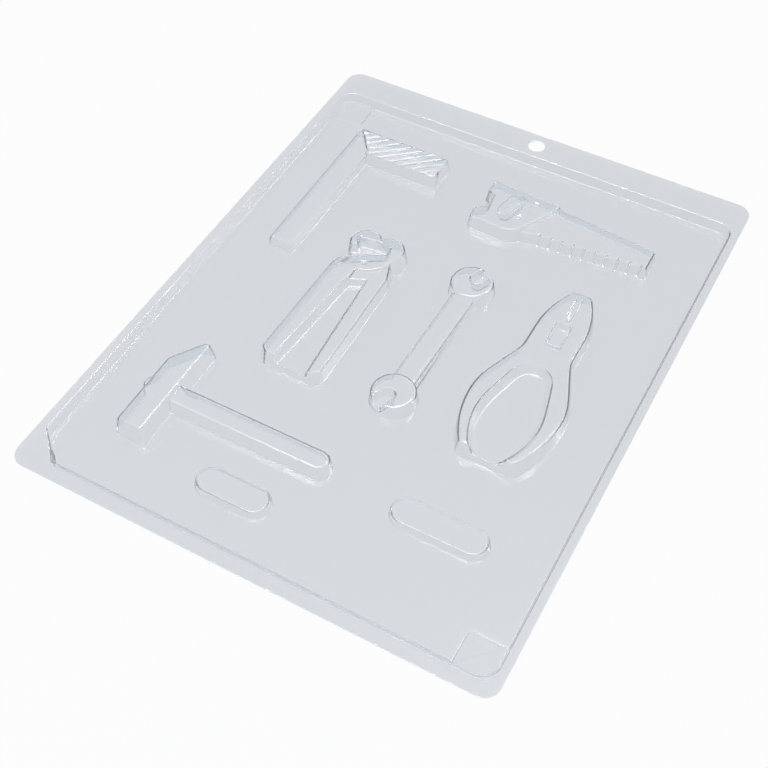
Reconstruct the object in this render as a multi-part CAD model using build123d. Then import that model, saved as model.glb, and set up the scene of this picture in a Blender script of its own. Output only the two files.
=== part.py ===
from build123d import *
from math import atan2, cos, degrees, radians, sin, tan
import os

# A chocolate mould vacuum formed from one clear sheet: a flat panel sunk in a raised flange,
# with the tool shaped cavities standing up from the panel and open underneath.
# All sizes are in millimetres. Heights are measured on the upper skin, from the panel.

# Sheet and flange
sheet_width = 185.0
sheet_length = 240.0
sheet_corner_radius = 6.0
wall = 0.5
side_flange = 4.3
front_flange = 7.3
back_flange = 14.0
panel_depth = 4.6
rim_slope = 7.5
rim_fold_radius = 0.9
rim_foot_radius = 0.5
rim_corner_radius = 5.0
rim_corner_chamfer = 10.2

# Hanging hole in the back flange
hole_radius = 3.5
hole_edge_distance = 6.8

# Raised corner pads of the panel
corner_pad_length = 14.0
corner_pad_radius = 2.5
corner_pad_height = 0.6

# Name pads, flat on top
pad_width = 12.4
short_pad_length = 29.4
long_pad_length = 37.0
pad_height = 3.2
pad_edge_radius = 0.8
pad_slope = 14.0

# Try square
square_blade_length = 74.1
square_blade_width = 11.7
square_blade_height = 4.5
square_stock_length = 44.4
square_stock_width = 15.0
square_stock_height = 6.4
square_edge_radius = 1.2
square_neck_share = 0.83
groove_pitch = 5.0
groove_width = 1.5
groove_depth = 0.8
groove_angle = 40.0

# Hand saw. The points of its handle's outline are shares of the handle's length and the heel's width.
saw_blade_length = 51.6
saw_heel_width = 21.6
saw_tip_width = 12.6
saw_blade_height = 5.0
saw_blade_skew = 4.2
saw_blade_tuck = 2.0
tooth_pitch = 4.6
tooth_depth = 1.1
gullet_share = 0.9
saw_handle_length = 23.4
saw_handle_height = 6.3
saw_edge_radius = 0.8
hand_hole_width = 4.2
hand_hole_length = 12.4
hand_hole_depth = 3.6
hand_hole_lean = 76.0
hand_hole_setback = 0.41
hand_hole_rise = 0.54
saw_corner_radius = 2.2
rivet_setback = 6.4
rivet_lean = 0.36
rivet_rises = (0.33, 0.79)
dimple_radius = 1.6
dimple_depth = 1.0

# Pincers. The points of their outlines are shares of these sizes.
pincers_handle_length = 57.3
pincers_handle_width = 27.0
pincers_shoulder_width = 24.8
pincers_lobe_radius = 7.5
pincers_lobe_spacing = 10.0
pincers_lobe_rise = 10.5
pincers_neck_width = 18.0
pincers_lower_height = 6.3
pincers_upper_height = 7.6
pincers_web_height = 3.0
pincers_edge_radius = 1.1
pincers_gap_width = 5.1
pincers_gap_end_width = 12.1
pincers_gap_start = 10.2
gap_slope = 15.0

# Double ended spanner
spanner_head_radius = 9.1
spanner_head_distance = 60.8
spanner_head_height = 5.6
spanner_shaft_width = 10.2
spanner_shaft_height = 4.2
spanner_edge_radius = 1.6
spanner_jaw_width = 4.0
spanner_jaw_depth = 8.4
spanner_jaw_angle = 25.0
spanner_floor_height = 1.4
spanner_tilt = 1.0

# Pliers
pliers_length = 86.3
pliers_tip_width = 8.0
pliers_end_width = 22.0
pliers_cheek_width = 21.2
pliers_cheek_length = 9.5
pliers_jaw_length = 22.6
pliers_jaw_radius = 42.0
pliers_bulge_width = 37.4
pliers_bulge_radius = 32.0
pliers_tip_height = 6.3
pliers_end_height = 7.4
pliers_web_height = 3.2
pliers_edge_radius = 1.35
pliers_corner_radius = 3.2
pliers_waist_radius = 12.0
pliers_splay = 21.5
pliers_mouth_start = 43.4
pliers_mouth_width = 18.2
pliers_mouth_end_width = 6.4
mouth_slope = 27.0
mouth_crown_radius = 6.0
mouth_crown_turn = 75.0
mouth_widest_share = 0.42
joint_slot_width = 4.8
joint_slot_length = 9.8
joint_slot_start = 19.1
joint_slot_depth = 2.6
joint_slot_corner_radius = 0.96
eye_radius = 1.9
eye_start = 14.8
eye_tail_width = 1.6
eye_tail_length = 10.36
eye_depth = 1.33

# Hammer
hammer_head_length = 46.2
hammer_head_width = 13.0
hammer_head_height = 8.2
hammer_peen_width = 4.4
hammer_peen_length = 13.0
hammer_face_length = 21.4
hammer_handle_length = 69.7
hammer_handle_width = 10.0
hammer_handle_height = 6.2
hammer_stub_length = 8.4
hammer_edge_radius = 1.4

# Slope of the cavity walls from upright, and the folds of the sheet. A fold is modelled as one
# flat across the bend, whose ends lie this share of the fold's radius back from the corner.
draft_angle = 9.0
tool_foot_radius = 0.6
hollow_fold_radius = 1.0
lip_slope = 45.0
setback_share = 0.6

# Where each cavity's reference point lies, in shares of the panel's half width and half length
square_place = (-0.812, 0.832)
saw_place = (0.181, 0.605)
pincers_place = (-0.333, 0.189)
spanner_place = (0.119, 0.026)
pliers_place = (0.579, 0.4385)
hammer_place = (-0.713, -0.606)
short_pad_place = (-0.210, -0.814)
long_pad_place = (0.561, -0.623)

# Derived sizes of the panel
panel_width = sheet_width - 2 * side_flange
panel_length = sheet_length - front_flange - back_flange
panel_centre_y = (front_flange - back_flange) / 2
tolerance = 0.01
on_base = (Align.CENTER, Align.CENTER, Align.MIN)


def place(share):
    """The point of the panel at the given shares of its half width and half length."""
    return Pos(share[0] * panel_width / 2, panel_centre_y + share[1] * panel_length / 2)


def outline(*points):
    """A closed flat outline through the points."""
    return Sketch() + make_face(Polyline(*points, close=True))


def grown(shape, amount):
    """The outline moved outward by the amount, or inward where it is negative."""
    return offset(shape, amount, kind=Kind.INTERSECTION) if amount else shape


def raised(shape, height, inset, slope=draft_angle):
    """A tapered block on the panel, standing off the upper skin by the inset."""
    base = wall - inset
    block = extrude(Pos(0, 0, base) * grown(shape, -inset), height)
    return draft(side_faces(block), Plane((0, 0, base)), slope)


def widened(shape, base, height, amount, slope):
    """A block that stands on the outline, grown by the amount, and widens toward its top."""
    block = extrude(Pos(0, 0, base) * grown(shape, amount), height)
    return draft(side_faces(block), Plane((0, 0, base)), -slope)


def hollow(shape, floor, top, inset, slope=draft_angle):
    """A widening block that cuts a hollow with the given floor outline and floor height."""
    return widened(shape, wall - inset + floor, top - floor + 2 * wall, inset, slope)


def lip(shape, floor, top, inset, slope=draft_angle):
    """The flare that folds the top edge of a hollow with the given floor outline and height."""
    width = convex_setback(hollow_fold_radius, inset)
    rise = top - floor - width
    reach = inset + rise * tan(radians(slope))
    return widened(shape, wall - inset + floor + rise, width + wall, reach, lip_slope)


def eased_hollow(shape, floor, top, inset, slope=draft_angle):
    """A hollow with a fold round its floor and another round its top edge."""
    block = hollow(shape, floor, top, inset, slope)
    bottom = block.faces().sort_by(Axis.Z)[0]
    block = chamfer(bottom.edges(), concave_setback(hollow_fold_radius, inset))
    return block + lip(shape, floor, top, inset, slope)


def convex_setback(radius, inset):
    """How far the flat of a fold that bulges upward reaches along its two faces."""
    return setback_share * radius - inset / 2


def concave_setback(radius, inset):
    """How far the flat of a fold that sags downward reaches along its two faces."""
    return setback_share * radius + inset / 2


def turned(radius, height, inset):
    """A round tapered block on the panel, standing off the upper skin by the inset."""
    foot = radius - inset
    crown = foot - height * tan(radians(draft_angle))
    return Pos(0, 0, wall - inset) * Cone(foot, crown, height, align=on_base)


def side_faces(block):
    """The upright faces of a block."""
    return block.faces().filter_by(lambda f: abs(f.normal_at().Z) < 0.5)


def softened(body, radius, inset):
    """The block with every edge that rises off the panel folded."""
    edges = [e for e in body.edges() if e.bounding_box().max.Z > wall - inset + tolerance]
    return chamfer(ShapeList(edges), convex_setback(radius, inset))


def rim_softened(body, radius, inset):
    """The block with the edges of its top folded."""
    tops = ShapeList([body.faces().sort_by(Axis.Z)[-1]])
    return chamfer(tops.edges(), convex_setback(radius, inset))


def try_square(inset):
    """A low blade under a taller grooved stock, with their outer corner at the reference point."""
    blade = outline(
        (0, 0),
        (0, -square_blade_length),
        (square_blade_width, -square_blade_length),
        (square_blade_width, 0),
    )
    inner = square_neck_share * square_blade_width
    stock = outline(
        (0, 0),
        (inner, -square_neck_share * square_stock_width),
        (inner, -square_stock_width),
        (square_stock_length, -square_stock_width),
        (square_stock_length, 0),
    )
    low = softened(raised(blade, square_blade_height, inset), square_edge_radius, inset)
    high = softened(raised(stock, square_stock_height, inset), square_edge_radius, inset)
    top = wall - inset + square_stock_height
    groove = outline((-groove_width / 2, 0), (0, -groove_depth), (groove_width / 2, 0), (0, 1))
    tool = extrude(Plane.XZ * groove, square_stock_width, both=True)
    for i in range(int(square_stock_length / groove_pitch) + 2):
        high -= Pos(i * groove_pitch, -square_stock_width / 2, top) * Rot(0, 0, groove_angle - 90) * tool
    return low + high


def hand_saw(inset):
    """A toothed blade and its taller handle, with the blade's heel at the reference point."""
    skew = saw_blade_skew / saw_blade_length
    blade = outline(
        (-saw_blade_tuck, 0),
        (saw_blade_length, saw_blade_skew),
        (saw_blade_length, saw_blade_skew + saw_tip_width),
        (-saw_blade_tuck, saw_heel_width),
    )
    blade = fillet(blade.vertices().sort_by(Axis.X)[-2:], saw_corner_radius)
    body = softened(raised(blade, saw_blade_height, inset), saw_edge_radius, inset)
    count = int((saw_blade_length - tooth_pitch / 2) / tooth_pitch)
    for i in range(count):
        x = tooth_pitch * (i + 0.5)
        y = skew * x
        gullet = outline(
            (x, y - saw_blade_tuck),
            (x + tooth_pitch, y - saw_blade_tuck),
            (x + tooth_pitch * gullet_share, y + tooth_depth + skew * tooth_pitch),
            (x, y),
        )
        body -= hollow(gullet, -wall, saw_blade_height, inset)
    grip = rim_softened(raised(saw_handle_outline(), saw_handle_height, inset), saw_edge_radius, inset)
    slot = Rot(0, 0, hand_hole_lean) * SlotOverall(hand_hole_length, hand_hole_width)
    slot = Pos(-hand_hole_setback * saw_handle_length, hand_hole_rise * saw_heel_width) * slot
    grip -= hollow(slot, saw_handle_height - hand_hole_depth, saw_handle_height, inset)
    for across in rivet_rises:
        x = across * saw_heel_width * rivet_lean - rivet_setback
        grip -= dimple(x, across * saw_heel_width, saw_handle_height, inset)
    return body + grip


def dimple(x, y, height, inset, radius=dimple_radius, depth=dimple_depth):
    """A flat cone that presses a shallow round hollow into a top at the given height."""
    reach = depth + wall
    cone = Cone(0, radius * reach / depth, reach, align=on_base)
    return Pos(x, y, wall - inset + height - depth) * cone


def saw_handle_outline():
    """The flat outline of the saw's handle."""
    reach = saw_handle_length
    heel = saw_heel_width
    shape = outline(
        (-0.03 * reach, -0.03 * heel),
        (0.46 * reach, 0.98 * heel),
        (-0.57 * reach, 1.03 * heel),
        (-0.97 * reach, 1.1 * heel),
        (-0.95 * reach, 0.67 * heel),
        (-0.82 * reach, 0.6 * heel),
        (-0.81 * reach, 0.33 * heel),
        (-reach, 0.2 * heel),
        (-0.96 * reach, -0.13 * heel),
        (-0.22 * reach, -0.15 * heel),
    )
    ends = shape.vertices().sort_by(Axis.X)
    return fillet(ends[:3] + ends[-1:], saw_corner_radius)


def hammer(inset):
    """A head with a slanted peen, across the end of a round ended handle."""
    side = hammer_head_width / 2
    far = hammer_head_length - hammer_face_length
    head = outline(
        (side, -hammer_face_length),
        (side, far),
        (side - hammer_peen_width, far),
        (-side, far - hammer_peen_length),
        (-side, -hammer_face_length),
    )
    start = -hammer_stub_length
    handle = Pos((hammer_handle_length + start) / 2, 0) * SlotOverall(
        hammer_handle_length - start, hammer_handle_width
    )
    head = softened(raised(head, hammer_head_height, inset), hammer_edge_radius, inset)
    handle = raised(Sketch() + handle, hammer_handle_height, inset)
    return head + softened(handle, hammer_edge_radius, inset)


def spanner(inset):
    """A low shaft between two open heads, whose jaws face opposite ways."""
    half = spanner_head_distance / 2
    shaft = Sketch() + Rectangle(spanner_shaft_width, spanner_head_distance)
    body = softened(raised(shaft, spanner_shaft_height, inset), spanner_edge_radius, inset)
    for end in (1, -1):
        head = turned(spanner_head_radius, spanner_head_height, inset)
        head = rim_softened(head, spanner_edge_radius, inset)
        reach = 2 * spanner_head_radius
        jaw = Pos(0, reach / 2 + spanner_head_radius - spanner_jaw_depth) * SlotOverall(
            reach, spanner_jaw_width, rotation=90
        )
        jaw = Sketch() + jaw
        cut = hollow(jaw, spanner_floor_height, spanner_head_height, inset)
        cut += lip(jaw, spanner_floor_height, spanner_head_height, inset)
        turn = 180 * (end < 0) - spanner_jaw_angle
        body += Pos(0, end * half) * Rot(0, 0, turn) * (head - cut)
    return Rot(0, 0, -spanner_tilt) * body


def mirrored(line):
    """The flat face between a line that runs down the right side and its mirror image."""
    return Sketch() + make_face(line + mirror(line, Plane.YZ))


def pliers_outline():
    """The flat outline of the closed pliers, from the tip down to the handle ends."""
    tip = Line((0, 0), (pliers_tip_width / 2, 0))
    jaw = RadiusArc(tip @ 1, (pliers_cheek_width / 2, -pliers_jaw_length), pliers_jaw_radius)
    cheek = PolarLine(jaw @ 1, pliers_cheek_length, -90)
    waist = JernArc(cheek @ 1, cheek % 1, pliers_waist_radius, pliers_splay)
    splay = radians(pliers_splay)
    swell = pliers_bulge_radius * (1 - cos(splay))
    run = (pliers_bulge_width / 2 - swell - (waist @ 1).X) / sin(splay)
    shoulder = PolarLine(waist @ 1, run, -90 + pliers_splay)
    bulge = JernArc(shoulder @ 1, shoulder % 1, pliers_bulge_radius, -pliers_splay)
    end = TangentArc(bulge @ 1, (pliers_end_width / 2, -pliers_length), tangent=bulge % 1)
    base = Line(end @ 1, (0, -pliers_length))
    face = mirrored(Curve() + [tip, jaw, cheek, waist, shoulder, bulge, end, base])
    corners = face.vertices().group_by(Axis.Y)[0] + face.vertices().group_by(Axis.Y)[-1]
    corners = ShapeList([v for v in corners if abs(v.X) > 1])
    return fillet(corners, pliers_corner_radius)


def mouth_outline():
    """The floor between the handles of the pliers, open at their near end."""
    crown = JernArc((0, -pliers_mouth_start), (1, 0), mouth_crown_radius, -mouth_crown_turn)
    widest = (pliers_mouth_width / 2, crown_drop(mouth_widest_share))
    flank = TangentArc(crown @ 1, widest, tangent=crown % 1)
    gap = (pliers_mouth_end_width / 2, -pliers_length)
    closing = TangentArc(flank @ 1, gap, tangent=flank % 1)
    mouth = Line(closing @ 1, (gap[0], gap[1] - mouth_crown_radius))
    base = Line(mouth @ 1, (0, gap[1] - mouth_crown_radius))
    return mirrored(Curve() + [crown, flank, closing, mouth, base])


def crown_drop(share):
    """The height on the pliers at the given share of the way down the handle gap."""
    return -pliers_mouth_start - share * (pliers_length - pliers_mouth_start)


def pliers(inset):
    """Pliers whose top rises from the tip to the handle ends, with a mouth between the handles."""
    level = wall - inset
    body = raised(pliers_outline(), pliers_end_height + 1, inset)
    lift = degrees(atan2(pliers_end_height - pliers_tip_height, pliers_length))
    over = Box(2 * pliers_bulge_width, 2 * pliers_length, pliers_end_height, align=on_base)
    body -= Pos(0, 0, level + pliers_tip_height) * Rot(-lift, 0, 0) * over
    body = rim_softened(body, pliers_edge_radius, inset)
    body -= eased_hollow(mouth_outline(), pliers_web_height, pliers_end_height, inset, mouth_slope)
    slot = Rectangle(joint_slot_width, joint_slot_length, align=(Align.CENTER, Align.MAX))
    slot = fillet(slot.vertices(), joint_slot_corner_radius)
    floor = pliers_tip_height - joint_slot_depth
    body -= hollow(Pos(0, -joint_slot_start) * slot, floor, pliers_end_height, inset)
    tail = Rectangle(eye_tail_width, eye_tail_length, align=(Align.CENTER, Align.MIN))
    eye = Pos(0, -eye_start) * (Sketch() + tail)
    body -= hollow(eye, pliers_tip_height - eye_radius / 3, pliers_end_height, inset)
    return body - dimple(0, -eye_start, pliers_tip_height, inset, eye_radius, eye_depth)


def pincers_body():
    """The flat outline of both handles and the shoulders, without the jaws."""
    side = pincers_handle_width / 2
    half = (
        (pincers_neck_width / 2, 0.7 * pincers_lobe_rise),
        (pincers_shoulder_width / 2, -0.04 * pincers_handle_length),
        (side, -0.95 * pincers_handle_length),
        (0.75 * side, -pincers_handle_length),
    )
    return outline(*half, *[(-x, y) for x, y in reversed(half)])


def pincers_strap():
    """The flat outline of the upper half: the left handle and its band across to the right jaw."""
    side = pincers_handle_width / 2
    foot = -pincers_handle_length
    jaw = (pincers_lobe_spacing / 2 + 0.72 * pincers_lobe_radius, pincers_lobe_rise)
    back = (0, 0.1 * foot)
    bend = ThreePointArc(jaw, (0.77 * jaw[0], 0.01 * foot), back)
    rest = Polyline(
        back,
        (0, foot),
        (-0.75 * side, foot),
        (-side, 0.95 * foot),
        (-0.92 * side, 0.08 * foot),
        (-0.84 * side, 0.02 * foot),
        (pincers_lobe_spacing / 2, 0.87 * pincers_lobe_rise),
        jaw,
    )
    return Sketch() + make_face(Curve() + [bend, rest])


def pincers_mouth():
    """The flat floor of the opening between the jaws, open toward the left."""
    rise = pincers_lobe_rise
    out = -2 * pincers_lobe_radius
    return outline(
        (out, 0.25 * rise),
        (-0.57 * rise, 0.7 * rise),
        (-0.7 * rise, 0.99 * rise),
        (0.08 * rise, 1.1 * rise),
        (0.44 * rise, 1.04 * rise),
        (0.52 * rise, 0.3 * rise),
        (out, -0.4 * rise),
    )


def pincers_gap():
    """The flat floor between the handles, open at their near end."""
    foot = -pincers_handle_length
    end = foot - pincers_web_height
    return outline(
        (-0.2 * pincers_gap_width, -pincers_gap_start),
        (0.75 * pincers_gap_width, -0.82 * pincers_gap_start),
        (0.58 * pincers_gap_end_width, foot),
        (0.58 * pincers_gap_end_width, end),
        (-0.42 * pincers_gap_end_width, end),
        (-0.42 * pincers_gap_end_width, foot),
    )


def pincers(inset):
    """The lower half with both round jaws, and the taller strap that crosses over it."""
    web = pincers_web_height
    lower = softened(raised(pincers_body(), pincers_lower_height, inset), pincers_edge_radius, inset)
    jaw = turned(pincers_lobe_radius, pincers_upper_height, inset)
    jaw = rim_softened(jaw, pincers_edge_radius, inset)
    for side in (-1, 1):
        lower += Pos(side * pincers_lobe_spacing / 2, pincers_lobe_rise) * jaw
    lower -= eased_hollow(pincers_mouth(), web, pincers_upper_height, inset)
    lower -= eased_hollow(pincers_gap(), web, pincers_lower_height, inset, gap_slope)
    upper = softened(raised(pincers_strap(), pincers_upper_height, inset), pincers_edge_radius, inset)
    upper -= eased_hollow(pincers_gap(), web, pincers_upper_height, inset, gap_slope)
    return lower + upper - dimple(0, 0, pincers_upper_height, inset)


def name_pad(length, inset):
    """A plain raised pad with round ends."""
    pad = Sketch() + SlotOverall(length, pad_width)
    return rim_softened(raised(pad, pad_height, inset, pad_slope), pad_edge_radius, inset)


def panel_outline():
    """The sunk panel, with three rounded corners and one cut corner at the front left."""
    face = Sketch() + Rectangle(panel_width, panel_length)
    corners = face.vertices().sort_by(lambda v: v.X + v.Y)
    face = chamfer(corners[0], rim_corner_chamfer)
    rest = face.vertices().sort_by(lambda v: v.X + v.Y)[2:]
    return Pos(0, panel_centre_y) * fillet(rest, rim_corner_radius)


def corner_pad(inset):
    """A low step that fills one corner of the panel and runs on under the rim."""
    size = corner_pad_length + side_flange / 2
    shape = Sketch() + RectangleRounded(size, size, corner_pad_radius)
    return raised(shape, corner_pad_height, inset)


def off_teeth(edge):
    """Whether an edge of the saw's foot lies clear of the row of teeth, which stays crisp."""
    spot = edge.center() - place(saw_place).position
    row = saw_blade_skew / saw_blade_length * spot.X + tooth_depth + 2 * tool_foot_radius
    return spot.X < 0 or spot.Y > row


def anywhere(edge):
    """No edge is left out."""
    return True


def set_on(body, tool, inset, kept=anywhere):
    """The body with a tool added and a fold between its walls and the panel."""
    level = wall - inset
    box = tool.bounding_box()
    body += tool
    edges = body.edges().filter_by(lambda e: e.bounding_box().size.Z < tolerance)
    edges = edges.filter_by_position(Axis.Z, level - tolerance, level + tolerance)
    edges = edges.filter_by_position(Axis.X, box.min.X, box.max.X)
    edges = edges.filter_by_position(Axis.Y, box.min.Y, box.max.Y)
    edges = edges.filter_by(lambda e: tool.distance_to(e @ 0.5) < tolerance)
    return chamfer(edges.filter_by(kept), concave_setback(tool_foot_radius, inset))


def forming_body(inset):
    """The solid under one skin of the sheet: the upper skin at no inset, the lower at one wall."""
    base = -panel_depth - inset
    level = wall - inset
    width = sheet_width + 2 * inset
    length = sheet_length + 2 * inset
    plate = Sketch() + RectangleRounded(width, length, sheet_corner_radius + inset)
    body = extrude(Pos(0, 0, base) * plate, level + panel_depth - base)
    body -= hollow(panel_outline(), 0, panel_depth, inset, rim_slope)
    top = body.faces().sort_by(Axis.Z)[-1]
    body = chamfer(top.inner_wires()[0].edges(), convex_setback(rim_fold_radius, inset))
    floor = body.faces().filter_by(lambda f: abs(f.center().Z - level) < tolerance)
    body = chamfer(floor.edges(), concave_setback(rim_foot_radius, inset))
    for side in (1, -1):
        reach = corner_pad_length / 2 - side_flange / 4
        x = side * (panel_width / 2 - reach)
        y = panel_centre_y - side * (panel_length / 2 - reach)
        body += Pos(x, y) * corner_pad(inset)
    body = set_on(body, place(square_place) * try_square(inset), inset)
    body = set_on(body, place(saw_place) * hand_saw(inset), inset, off_teeth)
    body = set_on(body, place(pincers_place) * pincers(inset), inset)
    body += place(spanner_place) * spanner(inset)
    body = set_on(body, place(pliers_place) * pliers(inset), inset)
    body = set_on(body, place(hammer_place) * hammer(inset), inset)
    body += place(short_pad_place) * name_pad(short_pad_length, inset)
    body += place(long_pad_place) * name_pad(long_pad_length, inset)
    return body


sheet = forming_body(0) - forming_body(wall)
sheet -= Pos(0, sheet_length / 2 - hole_edge_distance) * Cylinder(hole_radius, 4 * panel_depth)

os.makedirs("parts", exist_ok=True)
export_step(sheet, "parts/mould_sheet.step")
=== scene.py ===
"""Looks of a clear chocolate mould: one vacuum formed sheet on a pale table, seen as in the photograph."""

import math

import bmesh
import bpy
import numpy as np
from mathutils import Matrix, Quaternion, Vector


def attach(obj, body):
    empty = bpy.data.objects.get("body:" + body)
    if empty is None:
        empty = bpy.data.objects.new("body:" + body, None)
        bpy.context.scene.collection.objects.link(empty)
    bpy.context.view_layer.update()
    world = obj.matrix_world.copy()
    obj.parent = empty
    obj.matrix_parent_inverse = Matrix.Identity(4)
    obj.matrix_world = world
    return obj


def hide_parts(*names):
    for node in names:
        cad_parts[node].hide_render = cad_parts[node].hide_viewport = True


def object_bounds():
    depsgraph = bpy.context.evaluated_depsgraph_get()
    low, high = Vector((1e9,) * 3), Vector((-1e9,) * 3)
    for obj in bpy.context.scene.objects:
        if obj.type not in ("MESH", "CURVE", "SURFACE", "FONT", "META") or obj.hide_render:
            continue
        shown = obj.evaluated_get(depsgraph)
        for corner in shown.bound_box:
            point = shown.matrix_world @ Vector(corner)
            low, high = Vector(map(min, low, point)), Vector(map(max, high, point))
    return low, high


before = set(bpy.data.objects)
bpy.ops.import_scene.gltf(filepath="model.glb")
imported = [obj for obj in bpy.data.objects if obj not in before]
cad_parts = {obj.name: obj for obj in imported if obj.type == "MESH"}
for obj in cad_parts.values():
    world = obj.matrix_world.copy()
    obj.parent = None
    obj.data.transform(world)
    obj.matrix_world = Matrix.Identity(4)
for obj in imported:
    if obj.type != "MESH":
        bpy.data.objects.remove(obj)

bl_info = {
    "name": "Clear Chocolate Mould",
    "version": (1, 0, 0),
    "blender": (4, 5, 0),
    "location": "3D View > Sidebar > Mould",
    "description": "Finishes the formed sheet of a chocolate mould and sets its stage",
    "category": "Object",
}

CAD_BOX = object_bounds()
SHEET_NODE = "mould_sheet"

# How the skins of the sheet are told apart and its edges eased, in metres and radians
MERGE_DECIMALS = 7
LEVEL_BEND = math.radians(0.4)
SKIN_BEND = math.radians(12.0)
BEVEL_STEPS = 2
WELD_DISTANCE = 2e-6
SLIVER_SIZE = 1e-6
SLANTED_RISE = (0.4, 0.96)
LEAST_LENGTH = 1e-30

# The two noises in the skin
SWELL_DETAIL = 2.0
HAZE_DETAIL = 3.0
HAZE_SPREAD = (0.3, 0.7)

# The lamps: where each hangs, the point that it is turned to, and its width and height, in metres
SOFTBOX = ((0.0, -0.5, 1.2), (0.0, 0.0, 0.0), (1.4, 0.8))
STRIP = ((0.2, 0.2, 1.1), (0.2, 0.2, 0.0), (1.8, 0.12))
STRIP_TURN = math.radians(45.0)
REAR = ((-0.1, 1.7, 0.4), (0.0, 0.0, 0.0), (2.4, 0.4))

# The camera's sensor in millimetres, and the nearest thing that it sees in metres
SENSOR_WIDTH = 36.0
NEAREST = 0.01


class SheetSettings(bpy.types.PropertyGroup):
    """How the clear sheet looks."""

    tint: bpy.props.FloatVectorProperty(
        name="Tint",
        description="Share of each colour that the sheet lets through",
        subtype="COLOR",
        size=3,
        min=0.0,
        max=1.0,
        default=(0.93, 0.95, 0.97),
    )
    light_tint: bpy.props.FloatVectorProperty(
        name="Light tint",
        description="Share of each colour that a lamp's light keeps at each skin on its way to the table",
        subtype="COLOR",
        size=3,
        min=0.0,
        max=1.0,
        default=(0.97, 0.975, 0.98),
    )
    roughness: bpy.props.FloatVectorProperty(
        name="Roughness",
        description="How much the skin scatters a reflection where it is glossiest and where it is dullest",
        size=2,
        min=0.0,
        max=1.0,
        default=(0.09, 0.115),
    )
    haze_size: bpy.props.FloatProperty(
        name="Haze grain",
        description="Size of the patches between which the gloss changes",
        unit="LENGTH",
        min=0.0001,
        default=0.004,
    )
    swell_size: bpy.props.FloatProperty(
        name="Swell width",
        description="Width of the soft swells that forming leaves in the skin",
        unit="LENGTH",
        min=0.0001,
        default=0.0167,
    )
    swell_depth: bpy.props.FloatProperty(
        name="Swell depth",
        description="Depth of the soft swells",
        unit="LENGTH",
        default=0.000008,
    )
    ior: bpy.props.FloatProperty(
        name="Refraction",
        description="Refractive index of the plastic",
        min=1.0,
        max=2.0,
        default=1.45,
    )
    crease: bpy.props.FloatProperty(
        name="Crease",
        description="Skins that meet at a sharper angle keep a crisp edge between them",
        subtype="ANGLE",
        unit="ROTATION",
        default=math.radians(60.0),
    )
    lead: bpy.props.FloatProperty(
        name="Lead of wide skins",
        description="How strongly the wider of two skins sets the normal along a fold",
        min=0.0,
        max=4.0,
        default=2.0,
    )
    ease: bpy.props.FloatProperty(
        name="Eased edges",
        description="Width of the small bevel along each crisp edge",
        unit="LENGTH",
        min=0.0,
        default=0.0002,
    )
    foot_height: bpy.props.FloatProperty(
        name="Tight feet",
        description="Folds that end below this height, inside the rim, are too tight to catch the light",
        unit="LENGTH",
        default=0.0014,
    )
    rim_band: bpy.props.FloatVectorProperty(
        name="Rim band",
        description="Width of the border along the sheet's sides and ends that holds the rim",
        unit="LENGTH",
        size=2,
        default=(0.0105, 0.014),
    )
    deepest: bpy.props.IntProperty(
        name="Deepest path",
        description="Skins that a line of sight may cross before the rest of its way is left clear",
        min=1,
        default=5,
    )
    # Deep tint: partly the plastic's own tint and partly painted shade, darker than the sheet's tint, that
    # darkens the lines where sight crosses many skins at the folds.
    deep_tint_and_shade: bpy.props.FloatVectorProperty(
        name="Deep tint",
        description="Share of each colour that the rest of such a line of sight keeps at each skin",
        subtype="COLOR",
        size=3,
        min=0.0,
        max=1.0,
        default=(0.8, 0.82, 0.84),
    )


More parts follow.
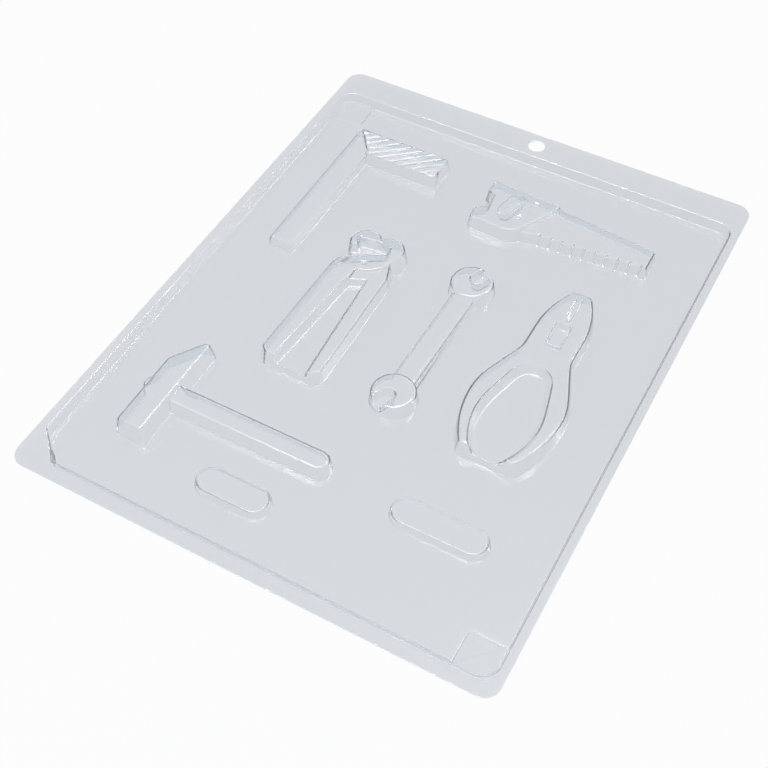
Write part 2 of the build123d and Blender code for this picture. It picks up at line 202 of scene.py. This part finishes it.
class StageSettings(bpy.types.PropertyGroup):
    """The camera, the lamps and the floor."""

    camera_place: bpy.props.FloatVectorProperty(
        name="Camera",
        description="Where the camera stands",
        subtype="TRANSLATION",
        unit="LENGTH",
        size=3,
        default=(0.13884, -0.26670, 0.35290),
    )
    camera_aim: bpy.props.FloatVectorProperty(
        name="Aim",
        description="The point in the middle of the picture",
        subtype="TRANSLATION",
        unit="LENGTH",
        size=3,
        default=(0.00350, -0.02630, 0.00050),
    )
    camera_roll: bpy.props.FloatProperty(
        name="Roll",
        description="Turn of the camera about its line of sight",
        subtype="ANGLE",
        unit="ROTATION",
        default=math.radians(-0.52),
    )
    field: bpy.props.FloatProperty(
        name="Field of view",
        description="Angle that the picture's width takes in",
        subtype="ANGLE",
        unit="ROTATION",
        default=math.radians(34.65),
    )
    floor_size: bpy.props.FloatProperty(
        name="Floor",
        description="Side of the square floor",
        unit="LENGTH",
        default=6.0,
    )
    floor_drop: bpy.props.FloatProperty(
        name="Floor gap",
        description="Distance of the floor below the sheet",
        unit="LENGTH",
        default=0.0001,
    )
    floor_colour: bpy.props.FloatVectorProperty(
        name="Floor colour",
        description="Colour of the pale floor",
        subtype="COLOR",
        size=3,
        min=0.0,
        max=1.0,
        default=(0.86, 0.87, 0.885),
    )
    floor_white: bpy.props.FloatProperty(
        name="Floor white",
        description="Share of plain white in the floor as the camera sees it",
        subtype="FACTOR",
        min=0.0,
        max=1.0,
        default=0.94,
    )
    floor_glow: bpy.props.FloatProperty(
        name="Floor white in gloss",
        description="Share of plain white in the floor as the clear sheet shows it",
        subtype="FACTOR",
        min=0.0,
        max=1.0,
        default=0.3,
    )
    room_colour: bpy.props.FloatVectorProperty(
        name="Room colour",
        description="Colour of the light from all round",
        subtype="COLOR",
        size=3,
        min=0.0,
        max=1.0,
        default=(0.95, 0.97, 1.0),
    )
    room_light: bpy.props.FloatProperty(
        name="Room light",
        description="Strength of the light from all round",
        min=0.0,
        default=0.4,
    )
    softbox_power: bpy.props.FloatProperty(
        name="Softbox",
        description="Power of the wide lamp above the near side",
        subtype="POWER",
        unit="POWER",
        default=7.0,
    )
    strip_power: bpy.props.FloatProperty(
        name="Strip",
        description="Power of the narrow lamp that draws the bright lines on the folds",
        subtype="POWER",
        unit="POWER",
        default=28.0,
    )
    rear_power: bpy.props.FloatProperty(
        name="Rear lamp",
        description="Power of the low lamp behind the mould",
        subtype="POWER",
        unit="POWER",
        default=4.0,
    )


def principled(name):
    """A new material and its Principled shader."""
    material = bpy.data.materials.new(name)
    material.use_nodes = True
    shader = material.node_tree.nodes["Principled BSDF"]
    return material, shader


def math_node(nodes, links, operation, first, second):
    """A Math node on two inputs, each a socket or a number."""
    node = nodes.new("ShaderNodeMath")
    node.operation = operation
    for socket, value in zip(node.inputs, (first, second)):
        if isinstance(value, (int, float)):
            socket.default_value = value
        else:
            links.new(value, socket)
    return node.outputs[0]


def formed_skin(nodes, links, shader, settings):
    """Two noises on the object's own coordinates: wide soft swells as bump, and a haze in the gloss."""
    place = nodes.new("ShaderNodeTexCoord").outputs["Object"]
    swell = nodes.new("ShaderNodeTexNoise")
    swell.inputs["Scale"].default_value = 1.0 / settings.swell_size
    swell.inputs["Detail"].default_value = SWELL_DETAIL
    bump = nodes.new("ShaderNodeBump")
    bump.inputs["Strength"].default_value = 1.0
    bump.inputs["Distance"].default_value = settings.swell_depth
    haze = nodes.new("ShaderNodeTexNoise")
    haze.inputs["Scale"].default_value = 1.0 / settings.haze_size
    haze.inputs["Detail"].default_value = HAZE_DETAIL
    gloss = nodes.new("ShaderNodeMapRange")
    limits = (*HAZE_SPREAD, *settings.roughness)
    for name, value in zip(("From Min", "From Max", "To Min", "To Max"), limits):
        gloss.inputs[name].default_value = value
    links.new(place, swell.inputs["Vector"])
    links.new(place, haze.inputs["Vector"])
    links.new(swell.outputs["Fac"], bump.inputs["Height"])
    links.new(bump.outputs["Normal"], shader.inputs["Normal"])
    links.new(haze.outputs["Fac"], gloss.inputs["Value"])
    links.new(gloss.outputs["Result"], shader.inputs["Roughness"])


def clear_sheet_material(settings):
    """Clear formed plastic. It lets the lamps through, so that the table below it stays lit, and it is
    open to a line of sight that has crossed many skins, which would otherwise end in black; such a line
    keeps the deep tint at each further skin, partly the plastic's own tint and partly painted shade that
    darkens the lines along the folds."""
    material, shader = principled("clear_sheet")
    shader.inputs["Base Color"].default_value = (*settings.tint, 1.0)
    shader.inputs["IOR"].default_value = settings.ior
    shader.inputs["Transmission Weight"].default_value = 1.0
    nodes, links = material.node_tree.nodes, material.node_tree.links
    formed_skin(nodes, links, shader, settings)
    path = nodes.new("ShaderNodeLightPath").outputs
    passing = math_node(nodes, links, "MAXIMUM", path["Is Shadow Ray"], path["Is Diffuse Ray"])
    deep = math_node(nodes, links, "GREATER_THAN", path["Ray Depth"], settings.deepest + 0.5)
    surface = shader.outputs[0]
    # Past the deepest path the sheet goes clear with the deep tint, which is darker than its own tint:
    # painted shade on the dark lines along the folds.
    for share, tint in ((deep, settings.deep_tint_and_shade), (passing, settings.light_tint)):
        clear = nodes.new("ShaderNodeBsdfTransparent")
        clear.inputs["Color"].default_value = (*tint, 1.0)
        mix = nodes.new("ShaderNodeMixShader")
        links.new(share, mix.inputs[0])
        links.new(surface, mix.inputs[1])
        links.new(clear.outputs[0], mix.inputs[2])
        surface = mix.outputs[0]
    links.new(surface, nodes["Material Output"].inputs["Surface"])
    return material


def mesh_arrays(mesh):
    """The points of a mesh of triangles, and the point of each of their corners."""
    points = np.empty(3 * len(mesh.vertices), dtype=np.float32)
    mesh.vertices.foreach_get("co", points)
    corners = np.empty(len(mesh.loops), dtype=np.int32)
    mesh.loops.foreach_get("vertex_index", corners)
    return points.reshape(-1, 3).astype(float), corners.reshape(-1, 3)


def merged(points, faces):
    """The same triangles on points that lie apart. Points that agree to the merge decimals become
    one, and triangles that shrink to a line are dropped."""
    spots, own = np.unique(np.round(points, MERGE_DECIMALS), axis=0, return_inverse=True)
    faces = own.ravel()[faces]
    whole = (faces[:, 0] != faces[:, 1]) & (faces[:, 1] != faces[:, 2]) & (faces[:, 2] != faces[:, 0])
    return spots, faces[whole]


def in_order(faces):
    """The same triangles, each from its lowest point on and then sorted. The mesh operators leave them
    in an order that changes from run to run."""
    first = np.argmin(faces, axis=1)[:, None]
    faces = np.take_along_axis(faces, (first + np.arange(3)) % 3, axis=1)
    return faces[np.lexsort(faces.T[::-1])]


def eased(points, faces, crease, ease):
    """The same closed skin with a two step bevel, as wide as the ease, along every edge that is
    sharper than the crease. Level triangles are joined first, so that the bevel runs straight."""
    rough = bpy.data.meshes.new("rough")
    rough.from_pydata(points, [], faces)
    work = bmesh.new()
    work.from_mesh(rough)
    bmesh.ops.dissolve_limit(
        work, angle_limit=LEVEL_BEND, verts=work.verts, edges=work.edges, delimit=set()
    )
    bmesh.ops.bevel(
        work,
        geom=[edge for edge in work.edges if edge.calc_face_angle(0.0) > crease],
        offset=ease,
        offset_type="OFFSET",
        segments=BEVEL_STEPS,
        profile=0.5,
        affect="EDGES",
        clamp_overlap=False,
        miter_outer="SHARP",
        miter_inner="SHARP",
    )
    bmesh.ops.remove_doubles(work, verts=work.verts, dist=WELD_DISTANCE)
    bmesh.ops.triangulate(work, faces=work.faces)
    bmesh.ops.dissolve_degenerate(work, dist=SLIVER_SIZE, edges=work.edges)
    bmesh.ops.triangulate(work, faces=work.faces)
    work.to_mesh(rough)
    work.free()
    points, faces = mesh_arrays(rough)
    bpy.data.meshes.remove(rough)
    return np.clip(points, *np.array(CAD_BOX)), in_order(faces)


def corner_facts(points, faces):
    """The unit normal and the area of each triangle, and the angle at each of its corners."""
    sides = np.roll(points[faces], -1, axis=1) - points[faces]
    cross = np.cross(sides[:, 0], sides[:, 1])
    double = np.linalg.norm(cross, axis=1)
    lengths = np.linalg.norm(sides, axis=2)
    facing = np.einsum("fci,fci->fc", sides, np.roll(sides, 1, axis=1))
    cosine = -facing / (lengths * np.roll(lengths, 1, axis=1))
    return cross / double[:, None], double / 2, np.arccos(np.clip(cosine, -1.0, 1.0))


def skin_regions(faces, normal, bend):
    """The number of the smooth skin region that each triangle is part of. Two triangles that share an
    edge are in one region where their normals agree within the bend."""
    heads = faces.ravel()
    tails = np.roll(faces, -1, axis=1).ravel()
    low, high = np.minimum(heads, tails), np.maximum(heads, tails)
    order = np.lexsort((high, low))
    twin = (low[order][1:] == low[order][:-1]) & (high[order][1:] == high[order][:-1])
    left, right = order[:-1][twin] // 3, order[1:][twin] // 3
    joined = np.einsum("ij,ij->i", normal[left], normal[right]) > math.cos(bend)
    left, right = left[joined], right[joined]
    region = np.arange(len(faces))
    while True:
        least = np.minimum(region[left], region[right])
        grown = region.copy()
        np.minimum.at(grown, left, least)
        np.minimum.at(grown, right, least)
        np.minimum.at(grown, region[left], least)
        np.minimum.at(grown, region[right], least)
        grown = grown[grown]
        if np.array_equal(grown, region):
            return np.unique(region, return_inverse=True)[1].ravel()
        region = grown


def tight_feet(points, faces, region, rise, settings):
    """Which regions are the folds at the feet of the cavities: slanted skins that end below the foot
    height and lie inside the rim band. The rise is each region's mean upward share of its normal."""
    reach = np.zeros((len(rise), 3))
    np.maximum.at(reach, region, np.abs(points[faces]).max(axis=1))
    inside = (reach[:, :2] < np.array(CAD_BOX[1])[:2] - np.array(settings.rim_band)).all(axis=1)
    slanted = (np.abs(rise) > SLANTED_RISE[0]) & (np.abs(rise) < SLANTED_RISE[1])
    return inside & slanted & (reach[:, 2] < settings.foot_height)


def folded_normals(points, faces, settings):
    """Normals that turn smoothly across each narrow fold and stay true on the wide skins beside it.
    At a point, each region's normal becomes the sum of the normals there that lie within the crease
    angle of it, each times its region's area raised to the lead, so that the widest skin rules.
    The tight feet of the cavities take the level normal of the panel."""
    normal, area, turn = corner_facts(points, faces)
    region = skin_regions(faces, normal, SKIN_BEND)
    count = region.max() + 1
    wide = np.bincount(region, weights=area, minlength=count)
    rise = np.bincount(region, weights=normal[:, 2] * area, minlength=count) / wide
    foot = tight_feet(points, faces, region, rise, settings)
    key = faces.ravel().astype(np.int64) * count + np.repeat(region, 3)
    pairs, own = np.unique(key, return_inverse=True)
    own = own.ravel()
    spot, skin = pairs // count, pairs % count
    drawn = (normal[:, None, :] * turn[:, :, None]).reshape(-1, 3)
    total = np.stack([np.bincount(own, weights=drawn[:, i]) for i in range(3)], axis=1)
    total /= np.linalg.norm(total, axis=1, keepdims=True)
    level = np.zeros_like(total)
    level[:, 2] = np.sign(rise[skin])
    total = np.where(foot[skin, None], level, total)
    rank = np.arange(len(pairs)) - np.searchsorted(spot, spot)
    table = np.zeros((len(points), rank.max() + 1, 3))
    weight = np.zeros(table.shape[:2])
    table[spot, rank] = total
    weight[spot, rank] = (wide[skin] / wide.max()) ** settings.lead
    near = np.einsum("vki,vli->vkl", table, table) > math.cos(settings.crease)
    mixed = np.einsum("vkl,vl,vli->vki", near, weight, table)[spot, rank]
    mixed /= np.maximum(np.linalg.norm(mixed, axis=1, keepdims=True), LEAST_LENGTH)
    return np.where(foot[skin, None], total, mixed)[own]


class MOULD_OT_sheet(bpy.types.Operator):
    """Build the formed sheet with its soft folds and give it its clear plastic"""

    bl_idname = "mould.sheet"
    bl_label = "Clear Sheet"

    def execute(self, context):
        settings = context.scene.mould_sheet
        points, faces = merged(*mesh_arrays(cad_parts[SHEET_NODE].data))
        points, faces = eased(points, faces, settings.crease, settings.ease)
        mesh = bpy.data.meshes.new("formed_sheet")
        mesh.from_pydata(points, [], faces)
        mesh.shade_smooth()
        mesh.normals_split_custom_set(folded_normals(points, faces, settings))
        mesh.materials.append(clear_sheet_material(settings))
        piece = bpy.data.objects.new("formed_sheet", mesh)
        context.scene.collection.objects.link(piece)
        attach(piece, "root")
        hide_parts(SHEET_NODE)
        return {"FINISHED"}


def area_lamp(name, place, aim, size, power):
    """A rectangular soft lamp at a place, turned to a point."""
    data = bpy.data.lights.new(name, "AREA")
    data.shape = "RECTANGLE"
    data.size, data.size_y = size
    data.energy = power
    lamp = bpy.data.objects.new(name, data)
    bpy.context.scene.collection.objects.link(lamp)
    lamp.location = place
    lamp.rotation_mode = "QUATERNION"
    lamp.rotation_quaternion = (Vector(aim) - Vector(place)).to_track_quat("-Z", "Y")
    return lamp


def floor_material(settings):
    """A pale floor that the camera sees as white. It keeps a faint shadow, and a clearer one where it is
    seen through the sheet."""
    material, shader = principled("pale_floor")
    shader.inputs["Base Color"].default_value = (*settings.floor_colour, 1.0)
    shader.inputs["Roughness"].default_value = 1.0
    shader.inputs["Specular IOR Level"].default_value = 0.0
    nodes, links = material.node_tree.nodes, material.node_tree.links
    path = nodes.new("ShaderNodeLightPath").outputs
    white = nodes.new("ShaderNodeEmission")
    white.inputs["Strength"].default_value = 1.0
    direct = math_node(nodes, links, "MULTIPLY", path["Is Camera Ray"], settings.floor_white)
    bent = math_node(nodes, links, "MAXIMUM", path["Is Glossy Ray"], path["Is Transmission Ray"])
    bent = math_node(nodes, links, "MULTIPLY", bent, settings.floor_glow)
    mix = nodes.new("ShaderNodeMixShader")
    links.new(math_node(nodes, links, "MAXIMUM", direct, bent), mix.inputs[0])
    links.new(shader.outputs[0], mix.inputs[1])
    links.new(white.outputs[0], mix.inputs[2])
    links.new(mix.outputs[0], nodes["Material Output"].inputs["Surface"])
    return material


def studio_world(settings):
    """Even light from all round, which the camera and the clear sheet see as a white backdrop."""
    world = bpy.data.worlds.new("studio")
    world.use_nodes = True
    nodes, links = world.node_tree.nodes, world.node_tree.links
    light = nodes["Background"]
    light.inputs["Color"].default_value = (*settings.room_colour, 1.0)
    light.inputs["Strength"].default_value = settings.room_light
    backdrop = nodes.new("ShaderNodeBackground")
    backdrop.inputs["Color"].default_value = (*settings.room_colour, 1.0)
    backdrop.inputs["Strength"].default_value = 1.0
    path = nodes.new("ShaderNodeLightPath").outputs
    bent = math_node(nodes, links, "MAXIMUM", path["Is Glossy Ray"], path["Is Transmission Ray"])
    mix = nodes.new("ShaderNodeMixShader")
    links.new(math_node(nodes, links, "MAXIMUM", path["Is Camera Ray"], bent), mix.inputs[0])
    links.new(light.outputs[0], mix.inputs[1])
    links.new(backdrop.outputs[0], mix.inputs[2])
    links.new(mix.outputs[0], nodes["World Output"].inputs["Surface"])
    return world


class MOULD_OT_stage(bpy.types.Operator):
    """Set the floor, the lamps, the world and the camera"""

    bl_idname = "mould.stage"
    bl_label = "Stage"

    def execute(self, context):
        settings = context.scene.mould_stage
        half = settings.floor_size / 2
        drop = CAD_BOX[0].z - settings.floor_drop
        mesh = bpy.data.meshes.new("floor")
        mesh.from_pydata(
            [(-half, -half, drop), (half, -half, drop), (half, half, drop), (-half, half, drop)],
            [],
            [(0, 1, 2, 3)],
        )
        mesh.materials.append(floor_material(settings))
        floor = bpy.data.objects.new("floor", mesh)
        context.scene.collection.objects.link(floor)

        area_lamp("softbox", *SOFTBOX, settings.softbox_power)
        strip = area_lamp("strip", *STRIP, settings.strip_power)
        strip.rotation_mode = "XYZ"
        strip.rotation_euler = (0.0, 0.0, STRIP_TURN)
        rear = area_lamp("rear", *REAR, settings.rear_power)
        for lamp in (strip, rear):
            lamp.visible_diffuse = False
        context.scene.world = studio_world(settings)

        data = bpy.data.cameras.new("camera")
        data.sensor_width = SENSOR_WIDTH
        data.angle = settings.field
        data.clip_start = NEAREST
        camera = bpy.data.objects.new("camera", data)
        context.scene.collection.objects.link(camera)
        camera.location = settings.camera_place
        camera.rotation_mode = "QUATERNION"
        look = (Vector(settings.camera_aim) - Vector(settings.camera_place)).to_track_quat("-Z", "Y")
        camera.rotation_quaternion = look @ Quaternion((0.0, 0.0, 1.0), settings.camera_roll)
        context.scene.camera = camera
        context.scene.view_settings.view_transform = "Standard"
        return {"FINISHED"}


class MOULD_PT_panel(bpy.types.Panel):
    """The mould's pieces and sizes"""

    bl_label = "Chocolate Mould"
    bl_idname = "MOULD_PT_panel"
    bl_space_type = "VIEW_3D"
    bl_region_type = "UI"
    bl_category = "Mould"

    def draw(self, context):
        layout = self.layout
        for label, holder in (("Sheet", context.scene.mould_sheet), ("Stage", context.scene.mould_stage)):
            box = layout.box()
            box.label(text=label)
            for name in holder.__annotations__:
                box.prop(holder, name)
        layout.operator(MOULD_OT_sheet.bl_idname)
        layout.operator(MOULD_OT_stage.bl_idname)


CLASSES = (SheetSettings, StageSettings, MOULD_OT_sheet, MOULD_OT_stage, MOULD_PT_panel)


def register():
    """Add the settings, operators and panel."""
    for cls in CLASSES:
        bpy.utils.register_class(cls)
    bpy.types.Scene.mould_sheet = bpy.props.PointerProperty(type=SheetSettings)
    bpy.types.Scene.mould_stage = bpy.props.PointerProperty(type=StageSettings)


def unregister():
    """Take them away again."""
    del bpy.types.Scene.mould_stage
    del bpy.types.Scene.mould_sheet
    for cls in reversed(CLASSES):
        bpy.utils.unregister_class(cls)


def main():
    register()
    bpy.ops.mould.sheet()
    bpy.ops.mould.stage()


if __name__ == "__main__":
    main()
